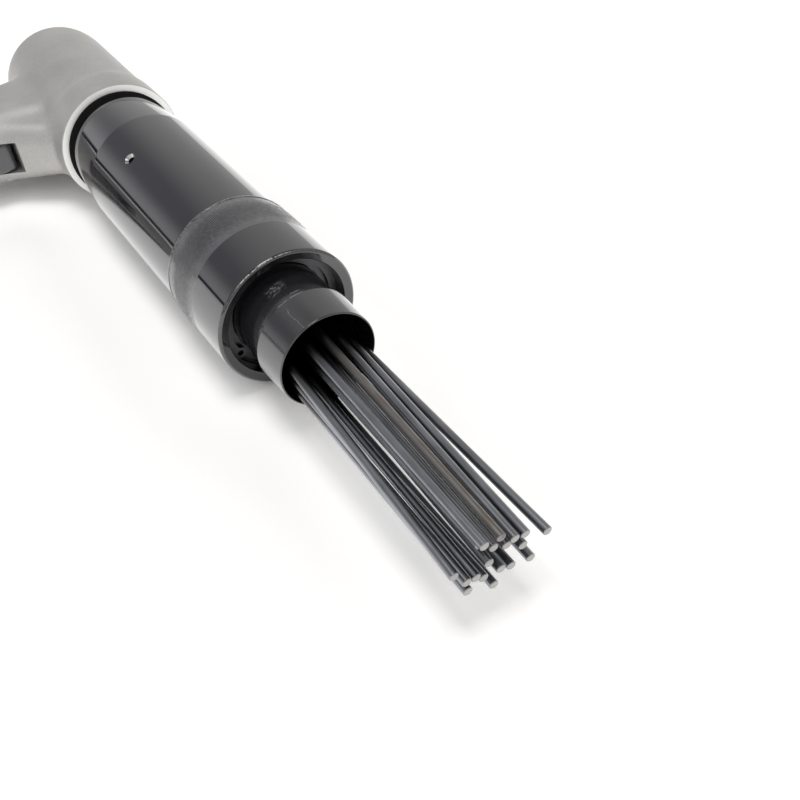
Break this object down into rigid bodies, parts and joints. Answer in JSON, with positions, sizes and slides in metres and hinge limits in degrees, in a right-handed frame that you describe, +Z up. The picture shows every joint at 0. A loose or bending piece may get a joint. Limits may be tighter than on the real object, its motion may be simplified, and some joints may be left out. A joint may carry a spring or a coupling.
{
  "type": "needle scaler",
  "caption": "Pneumatic needle scaler with a cast pistol grip, trigger, gloss black barrel, knurled front collar, sprung nozzle and a loose bundle of steel needles, lying on its side.",
  "frame": {"origin": "on the bench under the middle of the tool's box, the tool lying on its left side", "axes": "+X along the barrel towards the needle tips, the grip towards -Y, +Z up from the bench"},
  "size_m": [0.3545, 0.1634, 0.052],
  "materials": {
    "cast_aluminium": "sand-blasted casting",
    "trigger_black": "semi-gloss moulding",
    "ground_steel": "ground",
    "brass": "turned",
    "rubber": "matt",
    "spring_steel": "oiled wire",
    "plated_steel": "zinc plated",
    "motor_steel": "turned and hardened",
    "barrel_black": "gloss black finish",
    "collar_black": "knurled behind, gloss black in front",
    "nozzle_black": "satin black with worn edges",
    "clip_black": "phosphated spring steel",
    "needle_steel": "drawn wire, slightly rounded ends",
    "needle_rusty": "drawn wire with a brown rust film"
  },
  "bodies": {
    "tool_body": {"housing": "cast_aluminium", "trigger_pin": "ground_steel", "valve_dowels": "ground_steel", "throttle_bushing": "brass", "inlet_screen": "brass", "throttle_o_ring": "rubber", "anvil_buffer": "rubber", "barrel_seal": "rubber", "throttle_spring": "spring_steel", "needle_spring": "spring_steel", "throttle_plug": "plated_steel", "air_inlet": "plated_steel", "valve_block": "motor_steel", "valve_cap": "motor_steel", "cylinder": "motor_steel", "barrel": "barrel_black", "front_collar": "collar_black", "circlip": "clip_black", "nozzle_washer": "clip_black"},
    "trigger": {"trigger": "trigger_black"},
    "throttle_valve": {"throttle_valve": "ground_steel"},
    "regulator": {"regulator_screw": "plated_steel", "regulator_o_ring": "rubber"},
    "valve_disc": {"valve_disc": "ground_steel"},
    "piston": {"piston": "ground_steel"},
    "anvil": {"anvil": "motor_steel"},
    "needle_holder": {"needle_holder": "motor_steel"},
    "nozzle": {"nozzle": "nozzle_black"},
    "needle_01": {"needle_01": "needle_steel"},
    "needle_02": {"needle_02": "needle_steel"},
    "needle_03": {"needle_03": "needle_steel"},
    "needle_04": {"needle_04": "needle_steel"},
    "needle_05": {"needle_05": "needle_steel"},
    "needle_06": {"needle_06": "needle_steel"},
    "needle_07": {"needle_07": "needle_steel"},
    "needle_08": {"needle_08": "needle_steel"},
    "needle_09": {"needle_09": "needle_steel"},
    "needle_10": {"needle_10": "needle_steel"},
    "needle_11": {"needle_11": "needle_rusty"},
    "needle_12": {"needle_12": "needle_steel"},
    "needle_13": {"needle_13": "needle_steel"},
    "needle_14": {"needle_14": "needle_steel"},
    "needle_15": {"needle_15": "needle_steel"},
    "needle_16": {"needle_16": "needle_steel"},
    "needle_17": {"needle_17": "needle_steel"},
    "needle_18": {"needle_18": "needle_steel"},
    "needle_19": {"needle_19": "needle_steel"}
  },
  "joints": [
    {"name": "trigger_hinge", "type": "hinge", "parent": "tool_body", "child": "trigger", "pos_m": [-0.11825, 0.01038, 0.02225], "axis": [0, 0.0824, -0.9966], "range_deg": [0, 9], "stiffness_Nm_per_rad": 0.6, "springref_deg": -11.46},
    {"name": "throttle_slide", "type": "slide", "parent": "tool_body", "child": "throttle_valve", "axis": [-1, 0, 0], "range_m": [0, 0.00253], "deforming": ["throttle_spring"]},
    {"name": "regulator_turn", "type": "hinge", "parent": "tool_body", "child": "regulator", "pos_m": [-0.15625, -0.04394, 0.01776], "axis": [-1, 0, 0], "range_deg": [0, 270]},
    {"name": "valve_disc_lift", "type": "slide", "parent": "tool_body", "child": "valve_disc", "axis": [1, 0, 0], "range_m": [0, 0.0009]},
    {"name": "piston_stroke", "type": "slide", "parent": "tool_body", "child": "piston", "axis": [1, 0, 0], "range_m": [0, 0.03]},
    {"name": "anvil_blow", "type": "slide", "parent": "tool_body", "child": "anvil", "axis": [1, 0, 0], "range_m": [0, 0.006], "stiffness_N_per_m": 2000, "springref_m": -0.005},
    {"name": "holder_slide", "type": "slide", "parent": "tool_body", "child": "needle_holder", "axis": [1, 0, 0], "range_m": [0, 0.006], "deforming": ["needle_spring"]},
    {"name": "nozzle_push", "type": "slide", "parent": "tool_body", "child": "nozzle", "axis": [1, 0, 0], "range_m": [-0.008, 0], "stiffness_N_per_m": 500, "springref_m": 0.02, "deforming": ["needle_spring"]},
    {"name": "needle_01_slide", "type": "slide", "parent": "needle_holder", "child": "needle_01", "axis": [0.9992, -0.0291, -0.0262], "range_m": [-0.008, 0.001]},
    {"name": "needle_02_slide", "type": "slide", "parent": "needle_holder", "child": "needle_02", "axis": [0.9993, -0.0215, -0.032], "range_m": [-0.007, 0.002]},
    {"name": "needle_03_slide", "type": "slide", "parent": "needle_holder", "child": "needle_03", "axis": [0.9991, -0.0175, -0.0378], "range_m": [-0.007, 0.002]},
    {"name": "needle_04_slide", "type": "slide", "parent": "needle_holder", "child": "needle_04", "axis": [0.9999, -0.0076, -0.0116], "range_m": [-0.005, 0.004]},
    {"name": "needle_05_slide", "type": "slide", "parent": "needle_holder", "child": "needle_05", "axis": [0.9994, -0.0251, -0.0233], "range_m": [-0.0085, 0.0005]},
    {"name": "needle_06_slide", "type": "slide", "parent": "needle_holder", "child": "needle_06", "axis": [0.9999, -0.0087, -0.0116], "range_m": [-0.009, 0]},
    {"name": "needle_07_slide", "type": "slide", "parent": "needle_holder", "child": "needle_07", "axis": [0.9999, 0.0076, -0.0087], "range_m": [-0.008, 0.001]},
    {"name": "needle_08_slide", "type": "slide", "parent": "needle_holder", "child": "needle_08", "axis": [0.9998, 0.0116, -0.0146], "range_m": [-0.009, 0]},
    {"name": "needle_09_slide", "type": "slide", "parent": "needle_holder", "child": "needle_09", "axis": [0.9992, -0.0227, -0.032], "range_m": [-0.0085, 0.0005]},
    {"name": "needle_10_slide", "type": "slide", "parent": "needle_holder", "child": "needle_10", "axis": [0.9985, -0.0204, -0.0517], "range_m": [-0.009, 0]},
    {"name": "needle_11_slide", "type": "slide", "parent": "needle_holder", "child": "needle_11", "axis": [0.999, -0.0116, -0.0436], "range_m": [-0.0085, 0.0005]},
    {"name": "needle_12_slide", "type": "slide", "parent": "needle_holder", "child": "needle_12", "axis": [0.9995, -0.0116, -0.0285], "range_m": [-0.009, 0]},
    {"name": "needle_13_slide", "type": "slide", "parent": "needle_holder", "child": "needle_13", "axis": [0.9981, -0.0355, -0.0494], "range_m": [-0.008, 0.001]},
    {"name": "needle_14_slide", "type": "slide", "parent": "needle_holder", "child": "needle_14", "axis": [0.9994, -0.0058, -0.0349], "range_m": [-0.009, 0]},
    {"name": "needle_15_slide", "type": "slide", "parent": "needle_holder", "child": "needle_15", "axis": [0.9997, -0.0123, -0.0233], "range_m": [-0.009, 0]},
    {"name": "needle_16_slide", "type": "slide", "parent": "needle_holder", "child": "needle_16", "axis": [1, -0.0029, 0.0052], "range_m": [-0.008, 0.001]},
    {"name": "needle_17_slide", "type": "slide", "parent": "needle_holder", "child": "needle_17", "axis": [0.9998, -0.0204, -0.0087], "range_m": [-0.009, 0]},
    {"name": "needle_18_slide", "type": "slide", "parent": "needle_holder", "child": "needle_18", "axis": [0.9998, -0.0204, 0.0023], "range_m": [-0.0085, 0.0005]},
    {"name": "needle_19_slide", "type": "slide", "parent": "needle_holder", "child": "needle_19", "axis": [0.9996, -0.0081, -0.0262], "range_m": [-0.009, 0]}
  ],
  "couplings": [
    {"joint": "throttle_slide", "follows": "trigger_hinge", "m_per_rad": 0.016},
    {"joint": "holder_slide", "follows": "anvil_blow", "ratio": 1}
  ]
}
